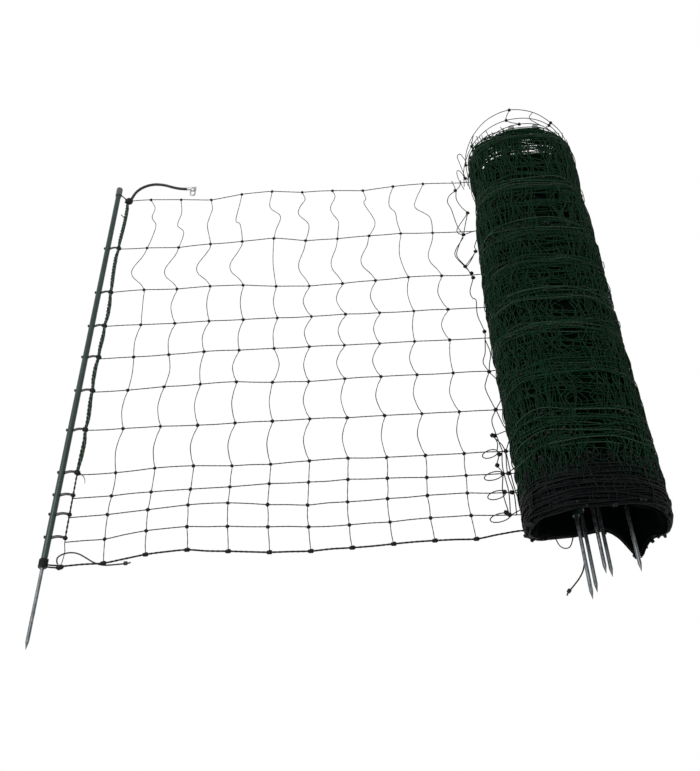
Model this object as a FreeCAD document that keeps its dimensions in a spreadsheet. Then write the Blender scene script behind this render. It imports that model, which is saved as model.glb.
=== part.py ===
import FreeCAD
import Part
import math
import os
import Sketcher

# Electric poultry netting, partly unrolled and lying on the floor.
# Layout plane: x = 0 at the edge rope, +x along the strands towards the roll,
# y = 0 at the bottom strand, +y towards the top strand, z = 0 on the floor.
# Everything is moved so that the row frame's origin is the bottom centre of the rigid parts.

os.makedirs("parts", exist_ok=True)
doc = FreeCAD.newDocument("poultry_netting")
Vec = FreeCAD.Vector

# ---------------------------------------------------------------- driving dimensions, mm
driving = {
    "stay_pitch": 80.0,
    "net_height": 1120.0,
    "strand_radius": 1.1,
    "bottom_radius": 1.5,
    "stay_radius": 0.9,
    "knot_size": 6.4,
    "knot_height": 6.4,
    "rope_radius": 3.4,
    "thin_rope_radius": 1.8,
    "tube_radius": 6.5,
    "tube_bore": 3.9,
    "tube_length": 1155.0,
    "spike_radius": 3.5,
    "spike_reach": 174.0,
    "spike_socket": 60.0,
    "spike_collar": 6.0,
    "spike_point": 16.0,
    "cap_radius": 8.0,
    "cap_length": 30.0,
    "cap_plug": 20.0,
    "post_height": 8.5,
    "peg_width": 7.5,
    "peg_shank": 1.8,
    "peg_wall": 2.0,
    "lead_radius": 3.6,
    "link_wire": 2.0,
    "link_width": 12.0,
    "link_height": 22.0,
    "roll_width": 272.0,
    "roll_height": 190.0,
    "roll_length": 1122.0,
    "roll_corner": 84.0,
    "band_thickness": 4.0,
    "band_width": 24.0,
    "black_length": 149.0,
    "mouth_width": 200.0,
    "mouth_height": 112.0,
    "mouth_corner": 50.0,
    "mouth_depth": 76.0,
}
sheet = doc.addObject("Spreadsheet::Sheet", "dims")
for line, (name, value) in enumerate(driving.items(), start=1):
    sheet.set("A%d" % line, name)
    sheet.set("B%d" % line, str(value))
    sheet.setAlias("B%d" % line, name)
doc.recompute()


def size(name):
    return float(sheet.get(name))


stay_pitch = size("stay_pitch")
net_height = size("net_height")
strand_radius = size("strand_radius")
bottom_radius = size("bottom_radius")
stay_radius = size("stay_radius")
knot_size = size("knot_size")
knot_height = size("knot_height")
rope_radius = size("rope_radius")
thin_rope_radius = size("thin_rope_radius")
tube_radius = size("tube_radius")
post_height = size("post_height")
roll_width = size("roll_width")
roll_height = size("roll_height")
roll_length = size("roll_length")
band_thickness = size("band_thickness")
band_width = size("band_width")

# ---------------------------------------------------------------- layout of the net
row_share = [0.0, 0.049, 0.098, 0.141, 0.192, 0.294, 0.396, 0.488, 0.578, 0.681, 0.827, 1.0]
row_shift = [1.0, -3.0, -4.5, -2.0, 0.0, 2.0, 0.5, 3.0, 9.0, 5.0, -2.5, -10.0]
wave_height = [9.0, 8.0, 8.0, 4.0, 3.0, 1.0, 3.0, 2.0, 1.0, 8.0, 7.0, 9.0]
wave_length = [480.0, 480.0, 480.0, 620.0, 400.0, 400.0, 400.0, 700.0, 700.0, 560.0, 440.0, 440.0]
wave_start = [132.0, 110.0, 140.0, 230.0, 110.0, 110.0, 110.0, 160.0, 160.0, 60.0, 270.0, 290.0]
cell_bulge = [0.0, -1.0, 1.0, -2.0, -11.0, -10.0, -6.0, -8.0, -10.0, -31.0, 9.0]
rows = len(row_share)
hinge_column = 11
half_pitch = stay_pitch / 2.0
strand_height = 4.2
bottom_height = 4.5
stay_height = 1.9
knot_reach = 9.0
strand_share = 0.3
stay_share = 0.24
hinge_x = hinge_column * stay_pitch
row_y = [share * net_height for share in row_share]

# The edge rope runs along a line that leans less than the end post.
rope_lean = math.radians(0.49)
post_lean = math.radians(0.83)
rope_foot_x = -1.0
rope_height = 6.5
post_foot = Vec(-34.0, -16.0, post_height)
post_way = Vec(math.sin(post_lean), math.cos(post_lean), 0.0)

# The roll lies beside the hinge stay, its far end a little further out.
roll_lean = math.radians(0.87)
roll_start = Vec(hinge_x + 130.0, -57.0, 0.0)
roll_way = Vec(math.sin(roll_lean), math.cos(roll_lean), 0.0)
roll_side = Vec(math.cos(roll_lean), -math.sin(roll_lean), 0.0)
# Each rolled-up post: distance across from the roll's axis, height, tip's distance before the roll.
rolled_posts = [(-38.0, 121.0, 154.0), (-24.0, 105.0, 131.0), (-6.0, 121.0, 104.0),
                (8.0, 105.0, 101.0), (56.0, 121.0, 102.0)]

# ---------------------------------------------------------------- origin of the row frame
post_total = size("spike_reach") + size("tube_length") + size("cap_length")
knob_reach = 3.0
left_end = post_foot.x + math.tan(post_lean) * row_y[1] - tube_radius - knob_reach
right_end = roll_start.x + roll_way.x * roll_length + roll_width / 2.0
near_end = roll_start.y - max(post[2] for post in rolled_posts)
far_end = near_end + post_total + (rolled_posts[0][2] - rolled_posts[4][2])
origin = Vec((left_end + right_end) / 2.0, (near_end + far_end) / 2.0, 0.0)


def at(x, y, z):
    """A layout point in the row frame."""
    return Vec(x, y, z) - origin


# ---------------------------------------------------------------- helpers
def wave(row, x):
    """How far a strand of this row strays from its straight line at x."""
    return wave_height[row] * math.sin(2.0 * math.pi * (x - wave_start[row]) / wave_length[row])


def way_point(row, step):
    """Corner of a strand half way between two stays; the last run is level for the hinge."""
    held = min(step, hinge_column - 1)
    x = half_pitch + stay_pitch * step
    return Vec(x, row_y[row] + wave(row, half_pitch + stay_pitch * held), 0.0)


def crossing(row, column):
    """Where strand and stay cross, and the strand's direction there."""
    first = way_point(row, column - 1)
    last = way_point(row, column)
    way = (last - first).normalize()
    shift = row_shift[row] if column < hinge_column else 0.0
    middle = (first + last) * 0.5
    return middle + way * (shift / way.x), way


bends = []


def rounded(points, share):
    """Straight runs joined by tangent arcs; each arc takes this share of the shorter run."""
    edges = []
    start = points[0]
    for before, corner, after in zip(points, points[1:], points[2:]):
        back = before - corner
        ahead = after - corner
        reach = share * min(back.Length, ahead.Length)
        back.normalize()
        ahead.normalize()
        half_turn = (math.pi - back.getAngle(ahead)) / 2.0
        if half_turn < math.radians(0.05):
            continue
        radius = reach / math.tan(half_turn)
        bends.append(round(radius, 1))
        inward = (back + ahead).normalize()
        enter = corner + back * reach
        leave = corner + ahead * reach
        middle = corner + inward * (radius / math.cos(half_turn) - radius)
        edges.append(Part.LineSegment(start, enter).toShape())
        edges.append(Part.Arc(enter, middle, leave).toShape())
        start = leave
    edges.append(Part.LineSegment(start, points[-1]).toShape())
    return Part.Wire(edges)


def cord(points, radius, share=0.45, free=""):
    """A round cord along straight runs joined by tangent arcs. A free cord's bend radii and length are printed."""
    bends.clear()
    spine = rounded(points, share)
    if free:
        print(free, "length", round(spine.Length, 1), "bend radii", bends)
    way = (points[1] - points[0]).normalize()
    ring = Part.Wire([Part.makeCircle(radius, points[0], way)])
    solid = spine.makePipeShell([ring], True, True)
    wanted = math.pi * radius ** 2 * spine.Length
    if abs(solid.Volume / wanted - 1.0) > 0.02:
        print("cord volume off:", solid.Volume / wanted)
    return solid


def rod(first, last, radius):
    """A straight round bar between two points."""
    way = last - first
    return Part.makeCylinder(radius, way.Length, first, way)


def node(label, shape):
    """A named sub-part whose shape was worked out here."""
    made = doc.addObject("Part::Feature", label)
    made.Label = label
    made.Shape = shape
    made.Placement = shape.Placement
    return made


def turn_from_z(way):
    return FreeCAD.Rotation(Vec(0, 0, 1), way)


def origin_plane(body, role):
    for plane in body.Origin.OriginFeatures:
        if plane.Role == role:
            return plane
    return None


def new_sketch(body, label, role):
    sketch = body.newObject("Sketcher::SketchObject", label)
    sketch.AttachmentSupport = [(origin_plane(body, role), "")]
    sketch.MapMode = "FlatFace"
    return sketch


def named(sketch, constraint, name, expression):
    """Add a named sketch constraint driven by the sheet."""
    index = sketch.addConstraint(constraint)
    sketch.renameConstraint(index, name)
    sketch.setExpression("Constraints." + name, expression)


def circle_on(sketch, radius, name, expression):
    index = sketch.addGeometry(Part.Circle(Vec(), Vec(0, 0, 1), radius), False)
    sketch.addConstraint(Sketcher.Constraint("Coincident", index, 3, -1, 1))
    named(sketch, Sketcher.Constraint("Radius", index, radius), name, expression)


def rounded_box_on(sketch, width, height, corner, names):
    """A centred rectangle with round corners; names are the three driving expressions."""
    a = width / 2.0
    b = height / 2.0
    r = corner
    quarter = math.pi / 2.0
    corners = [(a - r, b - r, 0.0), (r - a, b - r, 1.0), (r - a, r - b, 2.0), (a - r, r - b, 3.0)]
    arcs = []
    for x, y, turn in corners:
        circle = Part.Circle(Vec(x, y, 0), Vec(0, 0, 1), r)
        arc = Part.ArcOfCircle(circle, turn * quarter, (turn + 1.0) * quarter)
        arcs.append(sketch.addGeometry(arc, False))
    lines = []
    ends = [(Vec(a - r, b, 0), Vec(r - a, b, 0)), (Vec(-a, b - r, 0), Vec(-a, r - b, 0)),
            (Vec(r - a, -b, 0), Vec(a - r, -b, 0)), (Vec(a, r - b, 0), Vec(a, b - r, 0))]
    for first, last in ends:
        lines.append(sketch.addGeometry(Part.LineSegment(first, last), False))
    for index in range(4):
        sketch.addConstraint(Sketcher.Constraint("Tangent", arcs[index], 2, lines[index], 1))
        sketch.addConstraint(Sketcher.Constraint("Tangent", lines[index], 2, arcs[(index + 1) % 4], 1))
    sketch.addConstraint(Sketcher.Constraint("Horizontal", lines[0]))
    sketch.addConstraint(Sketcher.Constraint("Vertical", lines[1]))
    for index in range(1, 4):
        sketch.addConstraint(Sketcher.Constraint("Equal", arcs[0], arcs[index]))
    sketch.addConstraint(Sketcher.Constraint("Symmetric", lines[0], 1, lines[2], 1, -1, 1))
    named(sketch, Sketcher.Constraint("Radius", arcs[0], r), "corner", names[2])
    named(sketch, Sketcher.Constraint("DistanceY", lines[2], 1, lines[0], 2, 2.0 * b), "tall", names[1])
    named(sketch, Sketcher.Constraint("DistanceX", lines[1], 1, lines[3], 2, 2.0 * a), "wide", names[0])


# ---------------------------------------------------------------- post: tube, spike, cap
def post_tube(label):
    """A drawn tube, its foot at the origin, running along +z."""
    body = doc.addObject("PartDesign::Body", label)
    ring = new_sketch(body, label + "_ring", "XY_Plane")
    circle_on(ring, tube_radius, "outer", "dims.tube_radius")
    circle_on(ring, size("tube_bore"), "inner", "dims.tube_bore")
    pad = body.newObject("PartDesign::Pad", label + "_pad")
    pad.Profile = ring
    pad.setExpression("Length", "dims.tube_length")
    ring.Visibility = False
    body.Tip = pad
    return body


def post_spike(label):
    """A pointed bar: a thicker root pressed into the tube along +z, the bare spike down to the tip at -z."""
    bar = doc.addObject("Part::Cylinder", label + "_bar")
    bar.setExpression("Radius", "dims.spike_radius")
    bar.setExpression("Height", "dims.spike_reach - dims.spike_point")
    bar.setExpression("Placement.Base.z", "dims.spike_point - dims.spike_reach")
    point = doc.addObject("Part::Cone", label + "_point")
    point.setExpression("Radius1", "dims.spike_radius * 0.12")
    point.setExpression("Radius2", "dims.spike_radius")
    point.setExpression("Height", "dims.spike_point")
    point.setExpression("Placement.Base.z", "-dims.spike_reach")
    root = doc.addObject("Part::Cylinder", label + "_root")
    root.setExpression("Radius", "dims.tube_bore")
    root.setExpression("Height", "dims.spike_socket + dims.spike_collar")
    root.setExpression("Placement.Base.z", "-dims.spike_collar")
    joined = doc.addObject("Part::MultiFuse", label + "_joined")
    joined.Shapes = [bar, point, root]
    return joined


def post_cap(label):
    """A moulded end cap: a head on the tube's top and a plug in its bore."""
    head = doc.addObject("Part::Cylinder", label + "_head")
    head.setExpression("Radius", "dims.cap_radius")
    head.setExpression("Height", "dims.cap_length")
    head.setExpression("Placement.Base.z", "dims.tube_length")
    plug = doc.addObject("Part::Cylinder", label + "_plug")
    plug.setExpression("Radius", "dims.tube_bore")
    plug.setExpression("Height", "dims.cap_plug")
    plug.setExpression("Placement.Base.z", "dims.tube_length - dims.cap_plug")
    joined = doc.addObject("Part::Fuse", label + "_joined")
    joined.Base = head
    joined.Tool = plug
    doc.recompute()
    rounded_head = doc.addObject("Part::Fillet", label + "_rounded")
    rounded_head.Base = joined
    top = size("tube_length") + size("cap_length")
    rim = [number for number, edge in enumerate(joined.Shape.Edges, start=1)
           if abs(edge.BoundBox.ZMin - top) < 1e-6 and len(edge.Vertexes) == 1]
    soft = size("cap_radius") * 0.3
    rounded_head.Edges = [(number, soft, soft) for number in rim]
    return rounded_head


plain_tube = post_tube("plain_tube")
plain_spike = post_spike("plain_spike")
plain_cap = post_cap("plain_cap")
doc.recompute()

post_place = FreeCAD.Placement(at(*post_foot), turn_from_z(post_way))


def rope_x(y):
    return rope_foot_x + math.tan(rope_lean) * y


def post_x(y):
    return post_foot.x + math.tan(post_lean) * (y - post_foot.y)


# Pegs sit in cross holes of the tube and hold the edge rope with an eye.
peg_rows = range(1, 11)
peg_width = size("peg_width")
peg_shank = size("peg_shank")
peg_wall = size("peg_wall")
hole_clearance = 0.1
eye_clearance = 0.2
strap_thickness = 3.0
strap_height = 7.6
knob_radius = 2.6


def rope_radius_at(row):
    return rope_radius if row > 3 else thin_rope_radius


def peg(row):
    """One peg: knob, shank through the tube, flat strap and eye round the rope."""
    y = row_y[row]
    left = post_x(y) - tube_radius
    right = post_x(y) + tube_radius
    eye_x = rope_x(y)
    inner = rope_radius_at(row) + eye_clearance
    outer = inner + peg_wall
    knob = rod(at(left - knob_reach, y, post_height), at(left, y, post_height), knob_radius)
    shank = rod(at(left, y, post_height), at(right + 2.0, y, post_height), peg_shank)
    strap = Part.makeBox(eye_x - inner - right, peg_width, strap_thickness,
                         at(right, y - peg_width / 2.0, strap_height - strap_thickness / 2.0))
    rope_way = Vec(math.sin(rope_lean), math.cos(rope_lean), 0.0)
    low = at(eye_x, y, rope_height) - rope_way * (peg_width / 2.0)
    eye = Part.makeCylinder(outer, peg_width, low, rope_way)
    clear = Part.makeCylinder(inner, peg_width * 2.0, low - rope_way * peg_width / 2.0, rope_way)
    trim = Part.makeCylinder(tube_radius, peg_width * 2.0,
                             at(post_x(y - peg_width), y - peg_width, post_height), post_way)
    strap = strap.cut(trim)
    return knob.fuse([shank, strap, eye]).cut(clear).removeSplitter()


pegs = node("end_post_pegs", Part.makeCompound([peg(row) for row in peg_rows]))

cross_holes = []
for row in peg_rows:
    y = row_y[row]
    first = at(post_x(y) - 2.0 * tube_radius, y, post_height)
    last = at(post_x(y) + 2.0 * tube_radius, y, post_height)
    cross_holes.append(rod(first, last, peg_shank + hole_clearance))
hole_tool = node("cross_hole_tool", Part.makeCompound(cross_holes))
placed_tube = node("placed_tube", plain_tube.Shape.copy())
placed_tube.Placement = post_place
end_tube = doc.addObject("Part::Cut", "end_post_tube")
end_tube.Label = "end_post_tube"
end_tube.Base = placed_tube
end_tube.Tool = hole_tool
end_spike = node("end_post_spike", plain_spike.Shape.copy())
end_spike.Placement = post_place
end_cap = node("end_post_cap", plain_cap.Shape.copy())
end_cap.Placement = post_place

# Cord wound round the foot of the tube and the spike.
binding_above = 9.0
binding_below = 5.0
binding_radius = post_height
binding = Part.makeCylinder(binding_radius, binding_above + binding_below,
                            at(*(post_foot - post_way * binding_below)), post_way)
wrap_clearance = 0.1
tube_room = Part.makeCylinder(tube_radius + wrap_clearance, binding_above + 1.0, at(*post_foot), post_way)
spike_room = Part.makeCylinder(size("tube_bore"), binding_below + 2.0,
                               at(*(post_foot - post_way * (binding_below + 1.0))), post_way)
node("foot_binding", binding.cut(tube_room.fuse(spike_room)))
foot_knot_corner = Vec(-9.0, -20.0, 0.0)
foot_knot_size = Vec(14.0, 10.0, 8.0)
foot_y = foot_knot_corner.y + foot_knot_size.y / 2.0
foot_cord_start = at(post_foot.x, foot_y, bottom_height)
foot_cord_end = at(foot_knot_corner.x - 0.4, foot_y, bottom_height)
foot_cord = rod(foot_cord_start, foot_cord_end, bottom_radius)
node("foot_cord", foot_cord.cut(binding.fuse(tube_room)))

# ---------------------------------------------------------------- edge rope and its knots
top_knot_radius = 10.0
top_knot_middle = at(rope_x(net_height) + 4.0, net_height - 6.0, 8.5)
knot_ball = Part.makeSphere(top_knot_radius, top_knot_middle)
floor_room = Part.makeBox(60.0, 60.0, 40.0, top_knot_middle - Vec(30.0, 30.0, top_knot_middle.z))
knot_ball = knot_ball.common(floor_room)
node("top_knot", knot_ball)

rope_sway = 3.0
rope_share = 0.2


def rope_route(first, last, sway, held):
    """Straight through every eye, swaying from side to side in between."""
    rope_way = Vec(math.sin(rope_lean), math.cos(rope_lean), 0.0)
    points = []
    for row in range(first, last + 1):
        here = at(rope_x(row_y[row]), row_y[row], rope_height)
        points.append(here - rope_way * held)
        points.append(here + rope_way * held)
        if row < last:
            side = sway if row % 2 else -sway
            middle_y = (row_y[row] + row_y[row + 1]) / 2.0
            points.append(at(rope_x(middle_y) + side, middle_y, rope_height))
    return points


join_gap = 14.5
thick_route = rope_route(4, 10, rope_sway, 20.0)
thick_route[0] = at(rope_x(row_y[4] - join_gap), row_y[4] - join_gap, rope_height)
thick_route.append(at(rope_x(net_height) + 4.0, net_height - 8.0, rope_height))
node("edge_rope_upper", cord(thick_route, rope_radius, rope_share).cut(knot_ball))
thin_route = rope_route(1, 3, 1.0, join_gap)
thin_route[0] = at(rope_x(row_y[1] - join_gap), row_y[1] - join_gap, rope_height)
thin_route.append(at(rope_x(row_y[4] - join_gap), row_y[4] - join_gap, rope_height))
node("edge_rope_lower", cord(thin_route, thin_rope_radius, rope_share))
foot_stay_low = at(rope_x(0.0) + 2.0, foot_knot_corner.y + foot_knot_size.y, rope_height)
node("edge_stay_foot", rod(foot_stay_low, thin_route[0], stay_radius))

edge_knot_size = Vec(11.0, 7.0, 9.0)
edge_knot_gap = 1.0
edge_knot_low = 1.2
edge_knots = []
for row in peg_rows:
    middle_y = row_y[row] + peg_width / 2.0 + edge_knot_gap + edge_knot_size.y / 2.0
    corner = at(rope_x(middle_y) - edge_knot_size.x / 2.0 + 1.0, middle_y - edge_knot_size.y / 2.0,
                edge_knot_low)
    block = Part.makeBox(edge_knot_size.x, edge_knot_size.y, edge_knot_size.z, corner)
    upright = [edge for edge in block.Edges if abs(edge.BoundBox.ZLength - edge_knot_size.z) < 1e-6]
    block = block.makeFillet(2.0, upright)
    rope_way = Vec(math.sin(rope_lean), math.cos(rope_lean), 0.0)
    through = Part.makeCylinder(rope_radius_at(row), 40.0,
                                at(rope_x(middle_y - 20.0), middle_y - 20.0, rope_height), rope_way)
    edge_knots.append(block.cut(through))
node("edge_knots", Part.makeCompound(edge_knots))

foot_knot = Part.makeBox(foot_knot_size.x, foot_knot_size.y, foot_knot_size.z, at(*foot_knot_corner))
foot_knot = foot_knot.makeFillet(2.5, foot_knot.Edges)
node("foot_knot", foot_knot)

# ---------------------------------------------------------------- strands and stays
for row in range(rows):
    points = []
    height = bottom_height if row == 0 else strand_height
    radius = bottom_radius if row == 0 else strand_radius
    if row == 0:
        points.append(at(foot_knot_corner.x + foot_knot_size.x, foot_y, height))
    elif row == rows - 1:
        points.append(top_knot_middle + Vec(4.0, -3.0, height - top_knot_middle.z))
    else:
        middle_y = row_y[row] + peg_width / 2.0 + edge_knot_gap + edge_knot_size.y / 2.0
        start_x = rope_x(middle_y) + edge_knot_size.x / 2.0 + 1.0
        points.append(at(start_x, middle_y, height))
    for step in range(hinge_column):
        corner = way_point(row, step)
        points.append(at(corner.x, corner.y, height))
    points.append(at(hinge_x + knot_size * 0.7, corner.y, height))
    strand = cord(points, radius, strand_share)
    if row == rows - 1:
        strand = strand.cut(knot_ball)
    node("strand_%02d" % (row + 1), strand)


def plain_knot(cord_radius, cord_height, stay_room):
    """A moulded diamond knot, cross bored for its strand along x and its stay along y."""
    half = knot_size / 2.0
    blunt = half * 1.34
    block = Part.makeBox(knot_size, knot_size, knot_height, Vec(-half, -half, 0.0))
    block.rotate(Vec(), Vec(0, 0, 1), 45.0)
    block = block.common(Part.makeBox(2.0 * blunt, 2.0 * blunt, knot_height, Vec(-blunt, -blunt, 0.0)))
    block = block.removeSplitter()
    along = Part.makeCylinder(cord_radius, 20.0, Vec(-10.0, 0.0, cord_height), Vec(1, 0, 0))
    across = Part.makeCylinder(stay_room, 20.0, Vec(0.0, -10.0, stay_height), Vec(0, 1, 0))
    return block.cut(along.fuse(across))


def placed_knot(shape, row, column):
    middle, way = crossing(row, column)
    copy = shape.copy()
    turn = FreeCAD.Rotation(Vec(1, 0, 0), way)
    copy.Placement = FreeCAD.Placement(at(middle.x, middle.y, 0.0), turn)
    return copy


hinge_clearance = 0.15
net_knot = plain_knot(strand_radius, strand_height, stay_radius)
low_knot = plain_knot(bottom_radius, bottom_height, stay_radius)
net_hinge_knot = plain_knot(strand_radius, strand_height, stay_radius + hinge_clearance)
low_hinge_knot = plain_knot(bottom_radius, bottom_height, stay_radius + hinge_clearance)
columns = range(1, hinge_column)
upper_rows = range(1, rows)
net_knots = [placed_knot(net_knot, row, column) for row in upper_rows for column in columns]
node("net_knots", Part.makeCompound(net_knots))
node("bottom_knots", Part.makeCompound([placed_knot(low_knot, 0, column) for column in columns]))
hinge_knots = [placed_knot(net_hinge_knot, row, hinge_column) for row in upper_rows]
hinge_knots.append(placed_knot(low_hinge_knot, 0, hinge_column))
node("hinge_knots", Part.makeCompound(hinge_knots))


def stay_route(column):
    """A stay: straight through each knot, square to its strand, bulging in between."""
    points = []
    lively = 1.0 + 0.25 * math.sin(2.1 * column)
    for row in range(rows):
        middle, way = crossing(row, column)
        up = Vec(-way.y, way.x, 0.0)
        here = at(middle.x, middle.y, stay_height)
        below = knot_reach if row else knot_size / 2.0
        above = knot_reach if row < rows - 1 else knot_size / 2.0
        points.append(here - up * below)
        points.append(here + up * above)
        if row < rows - 1:
            target = crossing(row + 1, column)[0]
            bulge = cell_bulge[row] * lively
            if row == rows - 2:
                for share, side in ((0.3, 1.0), (0.52, -0.7), (0.72, 0.8)):
                    along = middle + (target - middle) * share
                    points.append(at(along.x + bulge * side, along.y, stay_height))
            else:
                along = middle + (target - middle) * 0.45
                points.append(at(along.x + bulge, along.y, stay_height))
    return points


for column in columns:
    node("stay_%02d" % column, cord(stay_route(column), stay_radius, stay_share))

# The stay next to the roll is the line that the free net folds up about.
hinge_low = crossing(0, hinge_column)[0].y - 8.0
hinge_high = crossing(rows - 1, hinge_column)[0].y + 14.0
node("stay_11", rod(at(hinge_x, hinge_low, stay_height), at(hinge_x, hinge_high, stay_height), stay_radius))

# ---------------------------------------------------------------- lead with its connector
ferrule_x = 163.0
neck_y = net_height + 40.5
neck_height = 4.4
lead_points = [(17.5, 2.0, 5.4), (21.0, 27.0, 3.9), (37.0, 55.0, 3.7), (66.0, 70.0, 3.7), (97.0, 66.0, 3.7),
               (127.0, 50.0, 3.7), (148.0, 42.5, 3.9), (ferrule_x, 40.5, 4.4)]
lead_route = [at(x, net_height + y, z) for x, y, z in lead_points]
lead = cord(lead_route, size("lead_radius"), free="lead_cord")
node("lead_cord", lead.cut(knot_ball))

link_wire = size("link_wire")
link_width = size("link_width")
link_height = size("link_height")
neck_radius = 4.2
neck_length = 13.0
barrel_radius = 4.2
bore_clearance = 0.2
side_clearance = 0.4
barrel_length = link_width - 2.0 * (link_wire + side_clearance)
barrel_x = ferrule_x + neck_length + 3.0
pin_y = neck_y - 6.5
neck = rod(at(ferrule_x, neck_y, neck_height), at(ferrule_x + neck_length, neck_y, neck_height), neck_radius)
barrel = rod(at(barrel_x - barrel_length / 2.0, pin_y, neck_height),
             at(barrel_x + barrel_length / 2.0, pin_y, neck_height), barrel_radius)
head_size = Vec(11.0, 9.0, 5.0)
head = Part.makeBox(head_size.x, head_size.y, head_size.z,
                    at(barrel_x - barrel_length / 2.0 + 1.0, pin_y + 2.8, neck_height - head_size.z / 2.0))
head = head.fuse(rod(at(ferrule_x + neck_length - 1.0, neck_y, neck_height),
                     at(barrel_x + 1.0, neck_y, neck_height), 2.5))
pin_room = rod(at(barrel_x - link_width, pin_y, neck_height), at(barrel_x + link_width, pin_y, neck_height),
               link_wire + bore_clearance)
pin_room = pin_room.common(rod(at(barrel_x - barrel_length, pin_y, neck_height),
                               at(barrel_x + barrel_length, pin_y, neck_height), barrel_radius))
lead_seat = rod(lead_route[-2], lead_route[-1], size("lead_radius"))
ferrule = neck.fuse([barrel, head]).cut(pin_room).cut(lead_seat).removeSplitter()
node("lead_ferrule", ferrule)

half_link = link_width / 2.0
link_corners = [(-half_link, 0.0), (half_link, 0.0), (half_link, -link_height), (-half_link, -link_height)]
link_softness = [2.2, 2.2, half_link - 0.2, half_link - 0.2]
link_edges = []
link_ends = []
for index in range(4):
    here = Vec(*link_corners[index], 0.0)
    before = Vec(*link_corners[index - 1], 0.0) - here
    after = Vec(*link_corners[(index + 1) % 4], 0.0) - here
    before.normalize()
    after.normalize()
    bend = link_softness[index]
    enter = here + before * bend
    leave = here + after * bend
    middle = here + (before + after) * bend * (1.0 - math.sqrt(0.5))
    link_ends.append((enter, middle, leave))
pin_middle = at(barrel_x, pin_y, neck_height)
for index in range(4):
    enter, middle, leave = [pin_middle + point for point in link_ends[index]]
    following = pin_middle + link_ends[(index + 1) % 4][0]
    link_edges.append(Part.Arc(enter, middle, leave).toShape())
    link_edges.append(Part.LineSegment(leave, following).toShape())
link_spine = Part.Wire(link_edges)
link_start = link_edges[0].Vertexes[0].Point
link_ring = Part.Wire([Part.makeCircle(link_wire, link_start, Vec(0, 1, 0))])
node("lead_link", link_spine.makePipeShell([link_ring], True, True))

# ---------------------------------------------------------------- strings at the corners
cap_side = at(*(post_foot + post_way * (size("tube_length") + size("cap_length") * 0.4)))
top_tie = rod(cap_side, top_knot_middle + Vec(-3.0, 2.0, 1.0), bottom_radius)
cap_room = Part.makeCylinder(size("cap_radius"), 200.0, at(*(post_foot + post_way * 1050.0)), post_way)
node("top_tie", top_tie.cut(cap_room).cut(knot_ball))

tie_route = [(-6.0, -9.6, 8.4), (-12.0, 3.0, 6.0), (-5.0, 15.0, 3.0), (10.0, 20.5, 1.6), (27.0, 18.0, 1.6),
             (44.0, 7.0, 1.6), (61.0, -6.0, 1.6), (80.0, -13.6, 1.6), (102.0, -13.0, 1.6),
             (120.0, -12.0, 1.6)]
tie_points = [at(x, y, z) for x, y, z in tie_route]
node("bottom_tie", cord(tie_points, bottom_radius, free="bottom_tie").cut(foot_knot))
end_knot_size = 8.0


def end_knot(corner, way):
    """Stopper knot of a string, with the short stub beyond it."""
    block = Part.makeBox(end_knot_size, end_knot_size * 0.9, end_knot_size * 0.8,
                         Vec(0.0, -end_knot_size * 0.45, -end_knot_size * 0.4))
    block = block.makeFillet(2.0, block.Edges)
    stub = Part.makeCylinder(bottom_radius, 7.0, Vec(end_knot_size - 1.0, 0.0, -1.0), Vec(1.0, 0.3, 0.0))
    whole = block.fuse(stub).removeSplitter()
    whole.Placement = FreeCAD.Placement(corner, FreeCAD.Rotation(Vec(1, 0, 0), way))
    return whole


node("bottom_tie_knot", end_knot(tie_points[-1] + Vec(0, 0, 1.6), Vec(1, 0, 0)))

# ---------------------------------------------------------------- roll
def roll_point(across, height, along):
    """A point in the roll: across from its axis, above the floor, along from its near end."""
    return at(*(roll_start + roll_side * across + roll_way * along)) + Vec(0, 0, height)


def roll_placement(along):
    turn = FreeCAD.Rotation(Vec(0, 0, 1), -math.degrees(roll_lean))
    upright = FreeCAD.Rotation(Vec(1, 0, 0), 90.0)
    place = roll_point(0.0, roll_height / 2.0, along)
    return FreeCAD.Placement(place, turn.multiply(upright))


def roll_body(label, along, outline, lengths):
    """A padded outline running back from the given place; outline is sizes and expressions."""
    body = doc.addObject("PartDesign::Body", label)
    sketch = new_sketch(body, label + "_outline", "XY_Plane")
    rounded_box_on(sketch, *outline)
    pad = body.newObject("PartDesign::Pad", label + "_pad")
    pad.Profile = sketch
    pad.setExpression("Length", lengths)
    body.Tip = pad
    body.Placement = roll_placement(along)
    return body


core_width = roll_width - 2.0 * band_thickness
core_height = roll_height - 2.0 * band_thickness
core_corner = size("roll_corner") - band_thickness
core_names = ("dims.roll_width - 2 * dims.band_thickness", "dims.roll_height - 2 * dims.band_thickness",
              "dims.roll_corner - dims.band_thickness")
core_outline = (core_width, core_height, core_corner, core_names)
mouth_names = ("dims.mouth_width", "dims.mouth_height", "dims.mouth_corner")
mouth_outline = (size("mouth_width"), size("mouth_height"), size("mouth_corner"), mouth_names)
black_length = size("black_length")
black_core = roll_body("black_core", black_length, core_outline, "dims.black_length")
mouth = roll_body("mouth", size("mouth_depth"), mouth_outline, "dims.mouth_depth + 10")
green_core = roll_body("green_core", roll_length, core_outline, "dims.roll_length - dims.black_length")
doc.recompute()

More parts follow.
